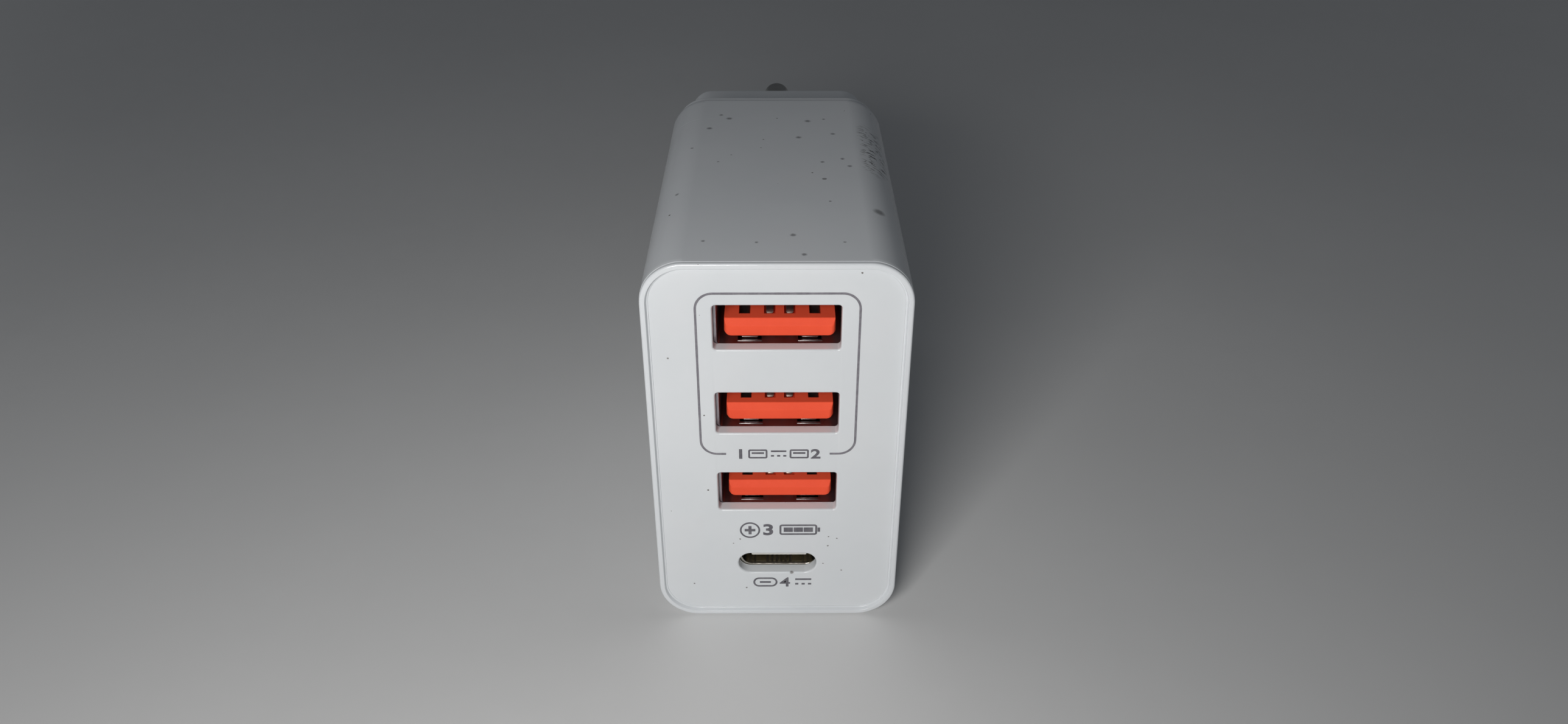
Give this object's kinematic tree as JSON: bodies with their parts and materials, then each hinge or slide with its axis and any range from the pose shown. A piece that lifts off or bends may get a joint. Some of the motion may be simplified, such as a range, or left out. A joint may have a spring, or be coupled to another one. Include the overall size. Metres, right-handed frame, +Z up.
{
  "type": "usb wall charger",
  "caption": "Compact white wall charger: a rounded slab case with a column of rectangular and oval charging ports in its front panel and a round-pin mains plug on its back.",
  "frame": {"origin": "centre of the bottom of the bounding box, with the charger standing on its narrow side", "axes": "+X to the right of someone looking at the port panel, +Y from the port panel to the mains pins, +Z up through the column of ports"},
  "size_m": [0.0264, 0.085, 0.0449],
  "materials": {
    "enclosure_white": "smooth glossy moulded polycarbonate with fine handling scratches",
    "panel_white": "smooth semi-gloss moulded plastic",
    "plug_white": "finely textured moulded plastic",
    "pin_nickel": "turned brass with bright nickel plating",
    "socket_steel": "stamped sheet steel, nickel plated",
    "tongue_orange": "injection moulded, satin",
    "contact_plating": "stamped and plated spring contact",
    "tongue_black": "injection moulded, satin",
    "board_green": "glass-epoxy laminate under solder mask",
    "chip_epoxy": "moulded epoxy",
    "ferrite_grey": "sintered ferrite",
    "bobbin_black": "moulded phenolic",
    "tape_yellow": "polyester tape",
    "capacitor_sleeve": "heat-shrunk sleeve",
    "capacitor_can": "drawn can",
    "fuse_brown": "moulded fuse body",
    "ceramic_blue": "dipped coating",
    "winding_copper": "enamelled copper wire",
    "sheet_film": "thin insulating film",
    "wire_red": "insulated wire",
    "wire_blue": "insulated wire",
    "print_grey": "thin pad-printed ink"
  },
  "bodies": {
    "root": {"main_housing": "enclosure_white", "front_panel": "panel_white", "rear_cover": "plug_white", "plug_pin_upper": "pin_nickel", "plug_pin_lower": "pin_nickel", "usb_a_shell_top": "socket_steel", "usb_a_tongue_top": "tongue_orange", "usb_a_top_contact_1": "contact_plating", "usb_a_top_contact_2": "contact_plating", "usb_a_top_contact_3": "contact_plating", "usb_a_top_contact_4": "contact_plating", "usb_a_shell_middle": "socket_steel", "usb_a_tongue_middle": "tongue_orange", "usb_a_middle_contact_1": "contact_plating", "usb_a_middle_contact_2": "contact_plating", "usb_a_middle_contact_3": "contact_plating", "usb_a_middle_contact_4": "contact_plating", "usb_a_shell_bottom": "socket_steel", "usb_a_tongue_bottom": "tongue_orange", "usb_a_bottom_contact_1": "contact_plating", "usb_a_bottom_contact_2": "contact_plating", "usb_a_bottom_contact_3": "contact_plating", "usb_a_bottom_contact_4": "contact_plating", "usb_c_shell": "socket_steel", "usb_c_tongue": "tongue_black", "usb_c_contact_1": "contact_plating", "usb_c_contact_2": "contact_plating", "usb_c_contact_3": "contact_plating", "usb_c_contact_4": "contact_plating", "usb_c_contact_5": "contact_plating", "usb_c_contact_6": "contact_plating", "usb_c_lower_contact_1": "contact_plating", "usb_c_lower_contact_2": "contact_plating", "usb_c_lower_contact_3": "contact_plating", "usb_c_lower_contact_4": "contact_plating", "port_board": "board_green", "port_controller_ic_1": "chip_epoxy", "port_controller_ic_2": "chip_epoxy", "output_inductor_1": "ferrite_grey", "output_inductor_2": "ferrite_grey", "power_board": "board_green", "bridge_rectifier": "chip_epoxy", "primary_controller_ic": "chip_epoxy", "sync_rectifier_ic": "chip_epoxy", "transformer_core_upper": "ferrite_grey", "transformer_core_lower": "ferrite_grey", "transformer_bobbin": "bobbin_black", "transformer_winding": "tape_yellow", "bulk_capacitor_1": "capacitor_sleeve", "bulk_capacitor_2": "capacitor_sleeve", "output_capacitor_1": "capacitor_can", "output_capacitor_2": "capacitor_can", "fuse": "fuse_brown", "safety_capacitor": "ceramic_blue", "choke_core": "ferrite_grey", "choke_winding_upper": "winding_copper", "choke_winding_lower": "winding_copper", "insulation_sheet": "sheet_film", "lead_live": "wire_red", "lead_neutral": "wire_blue"}
  },
  "joints": []
}
